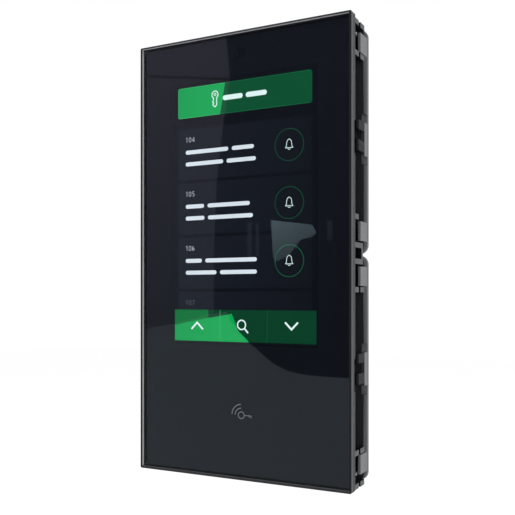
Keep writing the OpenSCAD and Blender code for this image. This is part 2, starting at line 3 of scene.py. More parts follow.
import bmesh
import bpy
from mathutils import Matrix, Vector


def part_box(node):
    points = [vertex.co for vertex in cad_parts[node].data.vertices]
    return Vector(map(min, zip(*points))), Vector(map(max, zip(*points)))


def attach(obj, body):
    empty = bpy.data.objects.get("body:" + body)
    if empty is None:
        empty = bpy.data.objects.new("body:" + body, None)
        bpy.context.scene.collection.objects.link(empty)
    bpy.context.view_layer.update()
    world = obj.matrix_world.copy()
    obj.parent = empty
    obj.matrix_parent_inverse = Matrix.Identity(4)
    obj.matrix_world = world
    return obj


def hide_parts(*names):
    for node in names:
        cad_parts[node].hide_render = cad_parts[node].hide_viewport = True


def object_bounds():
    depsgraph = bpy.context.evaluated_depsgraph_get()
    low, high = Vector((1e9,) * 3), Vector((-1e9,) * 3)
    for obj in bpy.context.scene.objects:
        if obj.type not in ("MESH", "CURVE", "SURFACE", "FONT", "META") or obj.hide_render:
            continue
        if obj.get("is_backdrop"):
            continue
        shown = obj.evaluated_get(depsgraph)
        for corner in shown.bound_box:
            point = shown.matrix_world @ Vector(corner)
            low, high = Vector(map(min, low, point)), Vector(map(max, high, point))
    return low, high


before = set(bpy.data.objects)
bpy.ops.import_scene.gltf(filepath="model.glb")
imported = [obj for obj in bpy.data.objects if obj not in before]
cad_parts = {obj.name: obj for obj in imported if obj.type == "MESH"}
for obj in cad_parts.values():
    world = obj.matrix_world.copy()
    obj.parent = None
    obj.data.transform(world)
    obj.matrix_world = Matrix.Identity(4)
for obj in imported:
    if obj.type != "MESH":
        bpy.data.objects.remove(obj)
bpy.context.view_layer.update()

# ---- Sizes and places, in millimetres unless a name says otherwise ------------------

MM = 0.001
rim_low, rim_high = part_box("trim_frame")
glass_low, glass_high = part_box("front_glass")
cell_low, cell_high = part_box("display_cell")
reader_low, reader_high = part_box("reader_board")
FRONT_Y = rim_low[1] / MM
GLASS_Y = glass_low[1] / MM
MASK_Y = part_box("glass_mask")[0][1] / MM
PICTURE_Y = cell_low[1] / MM
PICTURE_Z = (cell_low[2] + cell_high[2]) / 2 / MM
READER_Z = (reader_low[2] + reader_high[2]) / 2 / MM
PICTURE_W = 135.4
PICTURE_H = 216.6

# The picture's layout, measured from its centre.
LIST_W = 123.4
OPEN_BAR_Z = 92.1
OPEN_BAR_H = 24.8
OPEN_BAR_R = 1.6
CARD_TOP_Z = 49.1
CARD_PITCH = 45.0
CARD_H = 42.5
NAV_W = 130.5
NAV_Z = -92.4
NAV_H = 25.6
BELL_X = 42.0
BELL_R = 12.45
TEXT_X = -54.5

# ---- Small helpers --------------------------------------------------------------------


def linear(value):
    """A screen value from 0 to 255 as scene-linear light."""
    v = value / 255
    return v / 12.92 if v <= 0.04045 else ((v + 0.055) / 1.055) ** 2.4


def rgb(r, g, b):
    return (linear(r), linear(g), linear(b), 1.0)


def link_object(name, mesh, material):
    """A piece that rides on the front unit."""
    obj = bpy.data.objects.new(name, mesh)
    bpy.context.scene.collection.objects.link(obj)
    mesh.materials.append(material)
    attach(obj, "front_unit")
    return obj


def mesh_from(name, verts, faces):
    """A mesh from vertices in millimetres."""
    mesh = bpy.data.meshes.new(name)
    mesh.from_pydata([(x * MM, y * MM, z * MM) for x, y, z in verts], [], faces)
    bm = bmesh.new()
    bm.from_mesh(mesh)
    bmesh.ops.recalc_face_normals(bm, faces=bm.faces)
    bm.to_mesh(mesh)
    bm.free()
    return mesh


# ---- Flat artwork: outlines and strokes turned into thin closed slabs -----------------


def arc(x, z, r, a0, a1, steps=24):
    """Points on an arc, with angles in degrees counted anticlockwise from +X."""
    turn = [math.radians(a0 + (a1 - a0) * i / steps) for i in range(steps + 1)]
    return [(x + r * math.cos(t), z + r * math.sin(t)) for t in turn]


def rounded_box(x, z, w, h, r, steps=8):
    points = []
    for k, (sx, sz) in enumerate(((1, 1), (-1, 1), (-1, -1), (1, -1))):
        cx, cz = x + sx * (w / 2 - r), z + sz * (h / 2 - r)
        points += arc(cx, cz, r, 90 * k, 90 * k + 90, steps)
    return points


def slab(points, y_front, y_back):
    """Vertices and faces of a flat closed piece with that outline."""
    n = len(points)
    verts = [(x, y_front, z) for x, z in points] + [(x, y_back, z) for x, z in points]
    faces = [list(range(n)), list(range(2 * n - 1, n - 1, -1))]
    faces += [[i, (i + 1) % n, n + (i + 1) % n, n + i] for i in range(n)]
    return verts, faces


def offsets(points, width, closed):
    """Left and right borders of a line of that width, mitred at its corners."""
    n = len(points)
    left, right = [], []
    for i, (x, z) in enumerate(points):
        before = points[i - 1] if i or closed else None
        after = points[(i + 1) % n] if i < n - 1 or closed else None
        dirs = []
        if before:
            dirs.append(Vector((x - before[0], z - before[1])).normalized())
        if after:
            dirs.append(Vector((after[0] - x, after[1] - z)).normalized())
        along = (dirs[0] + dirs[-1]).normalized()
        reach = width / 2 / max(along.dot(dirs[0]), 0.45)
        left.append((x - along[1] * reach, z + along[0] * reach))
        right.append((x + along[1] * reach, z - along[0] * reach))
    return left, right


def stroke(points, width, y_front, y_back, closed=False):
    """Vertices and faces of a thin bar along the points, closed on every side."""
    left, right = offsets(points, width, closed)
    verts = []
    for (lx, lz), (rx, rz) in zip(left, right):
        verts += [(lx, y_front, lz), (rx, y_front, rz), (rx, y_back, rz), (lx, y_back, lz)]
    n = len(points)
    faces = []
    for i in range(n if closed else n - 1):
        a, b = 4 * i, 4 * ((i + 1) % n)
        faces += [[a + k, a + (k + 1) % 4, b + (k + 1) % 4, b + k] for k in range(4)]
    if not closed:
        faces += [[0, 1, 2, 3], [4 * n - 1, 4 * n - 2, 4 * n - 3, 4 * n - 4]]
    return verts, faces


FIRST_GAP = 0.04
LAYER_GAP = 0.06
LAYER_T = 0.03


def layer(level, base=PICTURE_Y):
    """Front and back of an artwork layer; higher levels lie nearer the viewer."""
    back = base - FIRST_GAP - LAYER_GAP * level
    return back - LAYER_T, back


def artwork(name, parts, material):
    """Joins slabs and strokes into one object."""
    verts, faces = [], []
    for part_verts, part_faces in parts:
        start = len(verts)
        verts += part_verts
        faces += [[start + i for i in face] for face in part_faces]
    return link_object(name, mesh_from(name, verts, faces), material)


def pill(x0, x1, z, h, ys):
    """A bar with round ends."""
    r = h / 2
    points = arc(x1 - r, z, r, -90, 90, 10) + arc(x0 + r, z, r, 90, 270, 10)
    return slab(points, *ys)


# ---- Materials -------------------------------------------------------------------------


class Nodes:
    """A material's node tree with the object's own coordinates ready."""

    def __init__(self, name):
        self.material = bpy.data.materials.new(name)
        self.material.use_nodes = True
        self.tree = self.material.node_tree
        self.shader = self.tree.nodes["Principled BSDF"]
        self.output = self.tree.nodes["Material Output"]
        self.coords = self.add("ShaderNodeTexCoord")

    def add(self, kind, **values):
        node = self.tree.nodes.new(kind)
        for key, value in values.items():
            setattr(node, key, value)
        return node

    def link(self, a, b):
        self.tree.links.new(a, b)

    def noise(self, grain_mm, detail=3.0, stretch=(1, 1, 1)):
        """Noise whose grain is about that many millimetres."""
        mapping = self.add("ShaderNodeMapping")
        mapping.inputs["Scale"].default_value = stretch
        self.link(self.coords.outputs["Object"], mapping.inputs["Vector"])
        noise = self.add("ShaderNodeTexNoise")
        noise.inputs["Scale"].default_value = 1000 / grain_mm
        noise.inputs["Detail"].default_value = detail
        self.link(mapping.outputs["Vector"], noise.inputs["Vector"])
        return noise.outputs["Fac"]

    def spread(self, source, low, high):
        """Stretches noise to a range of numbers."""
        node = self.add("ShaderNodeMapRange")
        node.inputs["From Min"].default_value = 0.3
        node.inputs["From Max"].default_value = 0.7
        node.inputs["To Min"].default_value = low
        node.inputs["To Max"].default_value = high
        self.link(source, node.inputs["Value"])
        return node.outputs["Result"]

    def two_tone(self, source, colour, change):
        """A colour that drifts by that share between darker and lighter."""
        ramp = self.add("ShaderNodeValToRGB")
        for stop, factor, place in zip(ramp.color_ramp.elements, (1 - change, 1 + change), (0.3, 0.7)):
            stop.position = place
            stop.color = [min(c * factor, 1) for c in colour[:3]] + [1]
        self.link(source, ramp.inputs["Fac"])
        return ramp.outputs["Color"]

    def bump(self, source, height_mm, strength):
        node = self.add("ShaderNodeBump")
        node.inputs["Strength"].default_value = strength
        node.inputs["Distance"].default_value = height_mm * MM
        self.link(source, node.inputs["Height"])
        self.link(node.outputs["Normal"], self.shader.inputs["Normal"])


def plastic(name, colour, rough=0.5, grain=0.5, bump=0.02, change=0.08, specular=0.5):
    m = Nodes(name)
    m.link(m.two_tone(m.noise(14.0), colour, change), m.shader.inputs["Base Color"])
    m.link(m.spread(m.noise(3.0), rough - 0.06, rough + 0.08), m.shader.inputs["Roughness"])
    m.shader.inputs["Specular IOR Level"].default_value = specular
    m.bump(m.noise(grain, 2.0), bump, 0.5)
    return m.material


def depth_shades(name, stops):
    """Moulded plastic whose grey changes with depth, as painted shade at the front and painted light
    at the rear. Each stop is its depth behind the rim in millimetres and its colour, front first."""
    m = Nodes(name)
    split = m.add("ShaderNodeSeparateXYZ")
    m.link(m.coords.outputs["Object"], split.inputs["Vector"])
    first, last = stops[0][0], stops[-1][0]
    place = m.add("ShaderNodeMapRange")
    place.inputs["From Min"].default_value = (FRONT_Y + first) * MM
    place.inputs["From Max"].default_value = (FRONT_Y + last) * MM
    m.link(split.outputs["Y"], place.inputs["Value"])
    ramp = m.add("ShaderNodeValToRGB")
    while len(ramp.color_ramp.elements) < len(stops):
        ramp.color_ramp.elements.new(1.0)
    for element, (depth, colour) in zip(ramp.color_ramp.elements, stops):
        element.position = (depth - first) / (last - first)
        element.color = (*colour, 1.0)
    m.link(place.outputs["Result"], ramp.inputs["Fac"])
    m.link(ramp.outputs["Color"], m.shader.inputs["Base Color"])
    m.link(m.spread(m.noise(3.0), 0.34, 0.48), m.shader.inputs["Roughness"])
    m.shader.inputs["Specular IOR Level"].default_value = 0.03
    m.bump(m.noise(0.4, 2.0), 0.012, 0.5)
    return m.material


def metal(name, colour, rough=0.3, stretch=(1, 1, 1), grain=0.8, change=0.06, bump=0.004):
    m = Nodes(name)
    m.link(m.two_tone(m.noise(grain * 4, 3.0, stretch), colour, change), m.shader.inputs["Base Color"])
    m.link(m.spread(m.noise(grain, 3.0, stretch), rough - 0.05, rough + 0.08),
           m.shader.inputs["Roughness"])
    m.shader.inputs["Metallic"].default_value = 1.0
    m.bump(m.noise(grain, 2.0, stretch), bump, 0.4)
    return m.material


def circuit(name, colour):
    """Green solder mask over a grid of faint copper tracks."""
    m = Nodes(name)
    brick = m.add("ShaderNodeTexBrick")
    brick.inputs["Scale"].default_value = 1.0
    brick.inputs["Brick Width"].default_value = 0.0042
    brick.inputs["Row Height"].default_value = 0.0021
    brick.inputs["Mortar Size"].default_value = 0.00022
    brick.inputs["Color1"].default_value = colour
    brick.inputs["Color2"].default_value = [c * 0.8 for c in colour[:3]] + [1]
    brick.inputs["Mortar"].default_value = [c * 2.1 for c in colour[:3]] + [1]
    turn = m.add("ShaderNodeMapping")
    turn.inputs["Rotation"].default_value = (math.radians(90), 0, 0)
    m.link(m.coords.outputs["Object"], turn.inputs["Vector"])
    m.link(turn.outputs["Vector"], brick.inputs["Vector"])
    m.link(brick.outputs["Color"], m.shader.inputs["Base Color"])
    m.link(m.spread(m.noise(2.0), 0.28, 0.4), m.shader.inputs["Roughness"])
    m.bump(brick.outputs["Fac"], 0.02, 0.4)
    return m.material


def clear_glass(name, colour, ior=1.5):
    m = Nodes(name)
    m.link(m.two_tone(m.noise(60.0, 1.0), colour, 0.01), m.shader.inputs["Base Color"])
    m.shader.inputs["Transmission Weight"].default_value = 1.0
    m.shader.inputs["IOR"].default_value = ior
    m.shader.inputs["Roughness"].default_value = 0.0
    return m.material


def print_ink(name, colour):
    """Ink laid on the rear of the glass: even, without grain."""
    m = Nodes(name)
    m.link(m.two_tone(m.noise(50.0, 1.0), colour, 0.04), m.shader.inputs["Base Color"])
    m.shader.inputs["Roughness"].default_value = 0.5
    m.shader.inputs["Specular IOR Level"].default_value = 0.1
    return m.material


def screen_light(name, colour, strength=1.0):
    """Light from the display, a little uneven as a backlight is."""
    m = Nodes(name)
    m.shader.inputs["Base Color"].default_value = (0.002, 0.002, 0.002, 1)
    m.shader.inputs["Roughness"].default_value = 0.6
    m.shader.inputs["Specular IOR Level"].default_value = 0.0
    m.link(m.two_tone(m.noise(30.0, 1.0), colour, 0.03), m.shader.inputs["Emission Color"])
    m.shader.inputs["Emission Strength"].default_value = strength
    return m.material


def fade_light(name, left_x, left, right_x, right):
    """Screen light that changes evenly between two places along X, in millimetres; it paints a
    reflection into the picture.
    """
    m = Nodes(name)
    m.shader.inputs["Base Color"].default_value = (0.002, 0.002, 0.002, 1)
    m.shader.inputs["Specular IOR Level"].default_value = 0.0
    split = m.add("ShaderNodeSeparateXYZ")
    m.link(m.coords.outputs["Object"], split.inputs["Vector"])
    place = m.add("ShaderNodeMapRange")
    place.inputs["From Min"].default_value = left_x * MM
    place.inputs["From Max"].default_value = right_x * MM
    m.link(split.outputs["X"], place.inputs["Value"])
    ramp = m.add("ShaderNodeValToRGB")
    ramp.color_ramp.elements[0].color = left
    ramp.color_ramp.elements[1].color = right
    m.link(place.outputs["Result"], ramp.inputs["Fac"])
    m.link(ramp.outputs["Color"], m.shader.inputs["Emission Color"])
    m.shader.inputs["Emission Strength"].default_value = 1.0
    return m.material


charcoal = plastic("charcoal_plastic", (0.040, 0.043, 0.045), 0.55, 0.6, 0.03, 0.08, 0.22)
carrier_grey = plastic("carrier_plastic", (0.030, 0.0335, 0.0365), 0.5, 0.5, 0.02, 0.08, 0.28)
# The side pads are the housing's own dark plastic; their lighter grey is painted light on their lit
# sides.
pad_painted_light = plastic("pad_plastic", (0.146, 0.153, 0.157), 0.48, 0.35, 0.012, 0.05, 0.3)
# The clips' dark arms are painted shade and their light spines painted light, graded by depth.
clip_painted_shading = depth_shades("clip_plastic", (
    (27.6, (0.024, 0.0255, 0.0265)), (30.0, (0.182, 0.190, 0.189))))
# The housings' side walls: painted shade at the front, in the recess, and painted light towards the
# rear edge.
wall_painted_shading = depth_shades("housing_side_painted_shading", (
    (26.5, (0.022, 0.0235, 0.0245)), (28.6, (0.026, 0.028, 0.029)), (30.5, (0.045, 0.048, 0.050)),
    (34.4, (0.062, 0.066, 0.068)), (35.2, (0.145, 0.154, 0.158)), (38.0, (0.155, 0.164, 0.168))))
rib_painted_light = plastic("rib_plastic_painted_light", (0.076, 0.080, 0.083), 0.5, 0.5, 0.02, 0.08, 0.28)
black_rubber = plastic("black_rubber", (0.010, 0.010, 0.011), 0.75, 0.3, 0.02, 0.08, 0.12)
# Black plastic made darker still as painted shade in the recess; on the ribs it is painted shade
# between them.
frame_black_and_shade = plastic("frame_plastic", (0.0050, 0.0058, 0.0063), 0.6, 0.5, 0.02, 0.08, 0.06)
black_plastic = plastic("black_plastic", (0.018, 0.019, 0.021), 0.42, 0.4, 0.01)
ink = print_ink("mask_ink", (0.0030, 0.0040, 0.0075))
display_black = print_ink("display_surface", (0.0030, 0.0040, 0.0075))
socket_sand = plastic("socket_plastic", (0.55, 0.45, 0.25), 0.45)
terminal_green = plastic("terminal_plastic", (0.03, 0.22, 0.07), 0.4)
plunger_white = plastic("plunger_plastic", (0.72, 0.73, 0.74), 0.4)
button_red = plastic("button_plastic", (0.35, 0.03, 0.03), 0.3)
gap_pad = plastic("gap_pad", (0.15, 0.22, 0.35), 0.8, 0.6, 0.05)
rim_dark = metal("rim_anodised", (0.083, 0.088, 0.095), 0.38, (1, 1, 0.08))
# Rim paints: near-black painted shade on the face at the sides, grey painted shade on the inside walls
# facing up, and a light painted highlight on the other inside walls.
rim_face_painted_shade = plastic("rim_face_painted_shade", (0.014, 0.0145, 0.0155), 0.5, 0.4, 0.005, 0.06, 0.08)
rim_shade = plastic("rim_shaded_inside", (0.088, 0.090, 0.093), 0.5, 0.4, 0.005, 0.05, 0.1)
rim_highlight_paint = plastic("rim_inside_painted_highlight", (0.40, 0.41, 0.43), 0.5, 0.4, 0.005, 0.05, 0.2)
sheet_steel = metal("sheet_steel", (0.5, 0.51, 0.52), 0.35, (1, 1, 0.1))
screw_steel = metal("screw_steel", (0.66, 0.66, 0.67), 0.22)
cast_metal = metal("cast_metal", (0.3, 0.31, 0.32), 0.5, (1, 1, 1), 0.6, 0.08, 0.02)
copper = metal("coil_copper", (0.75, 0.36, 0.18), 0.3)
board_green = circuit("circuit_board", (0.012, 0.085, 0.032, 1))
pane = clear_glass("front_pane", (0.93, 0.95, 0.97, 1))
film = clear_glass("touch_film", (0.97, 0.98, 1.0, 1), 1.03)
lens_glass = clear_glass("lens_glass", (0.03, 0.036, 0.06, 1), 1.25)

CAD_LOOKS = {
    "rear_housing_upper": charcoal, "rear_housing_lower": charcoal,
    "carrier_frame": carrier_grey, "inner_frame": frame_black_and_shade,
    "back_cover": cast_metal, "heat_spreader": cast_metal,
    "wall_seal_upper": black_rubber, "wall_seal_lower": black_rubber,
    "cable_grommet": black_rubber, "glass_seal": black_rubber, "glass_tape": black_rubber,
    "cover_gasket": black_rubber, "microphone_right": black_rubber,
    "microphone_left": black_rubber, "link_plate": sheet_steel,
    "display_bracket_right": sheet_steel, "display_bracket_left": sheet_steel,
    "processor_shield": sheet_steel, "display_backlight": sheet_steel,
    "network_socket": sheet_steel, "link_screws": screw_steel, "bracket_screws": screw_steel,
    "cover_screws": screw_steel, "board_screws": screw_steel, "side_screws": screw_steel,
    "lock_screw_right": screw_steel, "lock_screw_left": screw_steel,
    "connection_board": board_green, "main_board": board_green,
    "infrared_board": board_green, "reader_board": board_green,
    "terminal_block": terminal_green, "thermal_pad": gap_pad, "camera_body": black_plastic,
    "light_sensor": black_plastic, "tamper_switch": black_plastic, "speaker": black_plastic,
    "speaker_box": black_plastic, "camera_lens": lens_glass, "reader_coil": copper,
    "board_socket": socket_sand, "tamper_plunger": plunger_white, "reset_button": button_red,
    "glass_mask": ink, "touch_panel": film, "display_cell": display_black,
    "trim_frame": rim_dark, "front_glass": pane,
}
BEVELS_MM = {"carrier_frame": 0.3, "rear_housing_upper": 0.7, "rear_housing_lower": 0.7}
for side in ("right", "left"):
    for level in ("upper", "lower"):
        CAD_LOOKS[f"clip_{side}_{level}"] = clip_painted_shading
        BEVELS_MM[f"clip_{side}_{level}"] = 0.55
    for number in range(1, 5):
        CAD_LOOKS[f"side_pad_{side}_{number}"] = pad_painted_light
        BEVELS_MM[f"side_pad_{side}_{number}"] = 0.5

for name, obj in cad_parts.items():
    for index in range(max(len(obj.material_slots), 1)):
        if index < len(obj.material_slots):
            obj.material_slots[index].material = CAD_LOOKS[name]
        else:
            obj.data.materials.append(CAD_LOOKS[name])
    if name in BEVELS_MM:
        bevel = obj.modifiers.new("moulded_edges", "BEVEL")
        bevel.width = BEVELS_MM[name] * MM
        bevel.segments = 3
        bevel.limit_method = "ANGLE"
        bevel.angle_limit = math.radians(40)
        bevel.use_clamp_overlap = True
        bevel.harden_normals = False

# The housings' side walls get painted shade towards the front and painted light towards the rear; only
# the faces on the wall stay plain.
for name in ("rear_housing_upper", "rear_housing_lower"):
    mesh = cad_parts[name].data
    mesh.materials.append(wall_painted_shading)
    for polygon in mesh.polygons:
        if polygon.normal.y < 0.5:
            polygon.material_index = len(mesh.materials) - 1

# The ribs' outer faces get a lighter grey as painted light, and the faces between ribs get near-black
# as painted shade. Each entry is a node, the least X of its ribs and their first and last depth, in
# millimetres. Faces at STEP_D or deeper belong to the housings' front step, which isn't a rib.
RIBS = (("rear_housing_upper", 91.5, 19.8, 28.4), ("rear_housing_lower", 91.5, 19.8, 28.4),
        ("carrier_frame", 95.0, 7.3, 25.3))
STEP_D = 25.2
for name, least_x, first_d, last_d in RIBS:
    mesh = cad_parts[name].data
    mesh.materials.append(rib_painted_light)
    mesh.materials.append(frame_black_and_shade)
    # The first new slot is painted light on the ribs, the next painted shade between them.
    bright = len(mesh.materials) - 2
    for polygon in mesh.polygons:
        corners = [mesh.vertices[i].co / MM for i in polygon.vertices]
        depths = [c.y - FRONT_Y for c in corners]
        if min(depths) < first_d or max(depths) > last_d:
            continue
        if abs(polygon.normal.x) > 0.5:
            if all(abs(c.x) > least_x for c in corners):
                polygon.material_index = bright
        elif max(abs(c.x) for c in corners) > least_x and min(depths) < STEP_D:
            polygon.material_index = bright + 1

# ---- Glass pane and rim ---------------------------------------------------------------

PANE_ARRIS = 0.12
PANE_REST = 0.08
CORNER_STEPS = 5


def stacked(name, rings, solid=True):
    """A closed piece from rounded outlines (width, height, radius, y, lift) along its depth. One
    that isn't solid is a frame, whose last outline joins its first."""
    verts, faces = [], []
    for w, h, r, y, lift in rings:
        verts += [(x, y, z) for x, z in rounded_box(0, lift, w, h, r, CORNER_STEPS)]
    n = len(verts) // len(rings)
    for k in range(len(rings) - 1):
        for i in range(n):
            j = (i + 1) % n
            faces.append([k * n + i, k * n + j, (k + 1) * n + j, (k + 1) * n + i])
    if solid:
        faces.append(list(range(n)))
        faces.append(list(range(len(verts) - 1, len(verts) - n - 1, -1)))
    else:
        last = (len(rings) - 1) * n
        faces += [[last + i, last + (i + 1) % n, (i + 1) % n, i] for i in range(n)]
    return mesh_from(name, verts, faces)


pane_w = (glass_high[0] - glass_low[0]) / MM
pane_h = (glass_high[2] - glass_low[2]) / MM
pane_back = glass_high[1] / MM - PANE_REST
pane_mesh = stacked("front_pane", [
    (pane_w - 2 * PANE_ARRIS, pane_h - 2 * PANE_ARRIS, 0.6, GLASS_Y, 0),
    (pane_w, pane_h, 0.9, GLASS_Y + PANE_ARRIS, 0),
    (pane_w, pane_h, 0.9, pane_back - PANE_ARRIS, 0),
    (pane_w - 2 * PANE_ARRIS, pane_h - 2 * PANE_ARRIS, 0.6, pane_back, 0),
])
front_pane = link_object("front_pane", pane_mesh, pane)
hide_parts("front_glass")

rim_w = (rim_high[0] - rim_low[0]) / MM
rim_h = (rim_high[2] - rim_low[2]) / MM
rim_back = rim_high[1] / MM
# The rim's face is this wide at the sides and bottom, and narrower at the top.
RIM_WALL = 1.9
TOP_WALL = 1.25
EDGE = 0.18
inner_w = rim_w - 2 * RIM_WALL
inner_h = rim_h - RIM_WALL - TOP_WALL
inner_lift = (RIM_WALL - TOP_WALL) / 2
rim_mesh = stacked("metal_rim", [
    (rim_w, rim_h, 1.2, rim_back, 0),
    (rim_w, rim_h, 1.2, FRONT_Y + EDGE / 2, 0),
    (rim_w - EDGE, rim_h - EDGE, 1.1, FRONT_Y, 0),
    (inner_w + 2 * EDGE, inner_h + 2 * EDGE, 0.5, FRONT_Y, inner_lift),
    (inner_w, inner_h, 0.4, FRONT_Y + EDGE, inner_lift),
    (inner_w, inner_h, 0.4, rim_back, inner_lift),
], False)
metal_rim = link_object("metal_rim", rim_mesh, rim_dark)
# The anodised rim carries painted shade on its side faces and upward inside walls, and a painted
# highlight on its other inside walls.
for paint in (rim_highlight_paint, rim_face_painted_shade, rim_shade):
    metal_rim.data.materials.append(paint)
BARE, INSIDE_HIGHLIGHT, FACE, SHADE = range(4)
for polygon in metal_rim.data.polygons:
    centre, normal = polygon.center, polygon.normal
    facing_in = normal.x * centre.x + normal.z * centre.z < -0.2 * (abs(centre.x) + abs(centre.z))
    at_side = abs(centre.z) < (rim_h / 2 - RIM_WALL) * MM
    if normal.y < -0.6:
        polygon.material_index = FACE if at_side and normal.x <= 0.3 else BARE
    elif facing_in:
        polygon.material_index = SHADE if normal.z > 0.5 else INSIDE_HIGHLIGHT
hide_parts("trim_frame")

# ---- The display's picture --------------------------------------------------------------

picture_dark = screen_light("picture_dark", rgb(3, 4, 7))
# The cards' ground is lighter at the left than at the right as a painted reflection.
card_ground_painted_reflection = fade_light("card_ground_painted_reflection", -62, rgb(20, 22, 30), 62, rgb(9, 11, 16))
button_green = screen_light("button_green", rgb(0, 82, 44))
bar_painted_reflection = fade_light("bar_painted_reflection", -62, rgb(0, 166, 82), -20, rgb(0, 175, 84))
bar_middle_painted_reflection = screen_light("bar_middle_painted_reflection", rgb(0, 120, 55))
nav_green = screen_light("nav_green", rgb(0, 64, 34))
ring_green = screen_light("ring_green", rgb(12, 100, 62))
ring_bright = screen_light("ring_bright", rgb(18, 124, 78))
edge_painted_reflection = screen_light("edge_painted_reflection", rgb(70, 205, 120))
edge_dark = screen_light("edge_dark", rgb(24, 132, 76))
white_ui = screen_light("white_ui", rgb(232, 255, 248), 1.08)
word_white = screen_light("word_white", rgb(234, 243, 248))
number_grey = screen_light("number_grey", rgb(205, 208, 214))
number_dim = screen_light("number_dim", rgb(92, 96, 102))
divider_painted_reflection = screen_light("divider_painted_reflection", rgb(70, 200, 120))
divider_dark = screen_light("divider_dark", rgb(14, 100, 60))
reader_grey = plastic("reader_print", (0.56, 0.56, 0.57), 0.5)


def on_picture(x, z, w, h, r, level):
    return slab(rounded_box(x, z + PICTURE_Z, w, h, r), *layer(level))


def shifted(points, x, z):
    return [(px + x, pz + z) for px, pz in points]


def line(points, width, level, closed=False):
    """A stroke on the picture, with points measured from the picture's centre."""
    return stroke(shifted(points, 0, PICTURE_Z), width, *layer(level), closed)


artwork("picture_ground", [on_picture(0, 0, PICTURE_W, PICTURE_H, 0.2, 0)], picture_dark)

# Open-door bar: dark green with a lighter left part as a painted reflection, a key and a blank label.
artwork("open_bar", [on_picture(0, OPEN_BAR_Z, LIST_W, OPEN_BAR_H, OPEN_BAR_R, 1)], button_green)
bar_left = -LIST_W / 2
bar_top = OPEN_BAR_Z + OPEN_BAR_H / 2
bar_low = OPEN_BAR_Z - OPEN_BAR_H / 2
corners = arc(bar_left + OPEN_BAR_R, bar_top - OPEN_BAR_R, OPEN_BAR_R, 90, 180, 8)
corners += arc(bar_left + OPEN_BAR_R, bar_low + OPEN_BAR_R, OPEN_BAR_R, 180, 270, 8)
reflection_part = shifted(corners + [(-20.9, bar_low), (-16.1, bar_top)], 0, PICTURE_Z)
artwork("open_bar_painted_reflection", [slab(reflection_part, *layer(2))], bar_painted_reflection)
reflection_edge = [(-16.5, bar_top)] + corners + [(-21.0, bar_low)]
artwork("open_edge_painted_reflection", [line(reflection_edge, 0.32, 3)], edge_painted_reflection)
dim_top = [(-16.0, bar_top), (LIST_W / 2 - OPEN_BAR_R, bar_top)]
dim_low = [(-20.6, bar_low), (LIST_W / 2 - OPEN_BAR_R, bar_low)]
artwork("open_edge", [line(dim_top, 0.28, 3), line(dim_low, 0.28, 3)], edge_dark)


def key_icon(x, z, level):
    """A house key standing on its tip: bow, hole and toothed blade."""
    bow = arc(x, z + 3.4, 2.95, -58, 238, 28)
    tooth = [(-1.5, 0.2), (-1.5, -1.4), (-2.3, -2.3), (-1.2, -3.4), (-2.1, -4.7), (-0.1, -6.6)]
    blade = shifted(tooth + [(1.7, -5.0), (1.6, 0.2)], x, z)
    hole = arc(x, z + 3.6, 0.95, 0, 345, 14)
    return [line(bow + blade, 0.78, level, True), line(hole, 0.6, level, True)]


artwork("key_sign", key_icon(-25.7, OPEN_BAR_Z + 0.4, 4), white_ui)
LABEL_BARS = ((-18.3, 0.4), (3.2, 22.4))
label_z = OPEN_BAR_Z + PICTURE_Z + 0.2
artwork("open_label", [pill(a, b, label_z, 4.0, layer(4)) for a, b in LABEL_BARS], white_ui)


BELL_STROKE = 0.48


def bell_icon(x, z, level):
    side = [(0.45, 4.2), (1.7, 3.1), (2.2, 1.2), (2.35, -1.0), (3.2, -2.4)]
    outline = [(x + a, z + b) for a, b in side]
    outline += [(x - a, z + b) for a, b in reversed(side)]
    clapper = arc(x, z - 2.7, 1.05, 190, 350, 10)
    return [line(outline, BELL_STROKE, level, True), line(clapper, BELL_STROKE, level)]


DIGIT_STROKES = {
    "0": [(arc(1.0, 2.9, 0.95, 0, 180, 8) + arc(1.0, 1.1, 0.95, 180, 360, 8), True)],
    "1": [([(0.3, 3.0), (1.3, 4.0), (1.3, 0)], False)],
    "4": [([(1.6, 0), (1.6, 4.0), (0.0, 1.2), (2.2, 1.2)], False)],
    "5": [([(1.8, 3.9), (0.4, 3.9), (0.3, 2.2)] + arc(0.95, 1.2, 1.0, 110, -140, 12), False)],
    "6": [(arc(1.0, 1.1, 0.95, 100, 460, 16), True), (arc(2.1, 1.4, 2.4, 110, 175, 8), False)],
    "7": [([(0.1, 3.9), (2.0, 3.9), (0.7, 0)], False)],
}


DIGIT_PITCH = 3.3
DIGIT_STROKE = 0.4


def number_sign(text, x, z, level):
    parts = []
    for place, digit in enumerate(text):
        for points, closed in DIGIT_STROKES[digit]:
            places = shifted(points, x + DIGIT_PITCH * place, z)
            parts.append(line(places, DIGIT_STROKE, level, closed))
    return parts


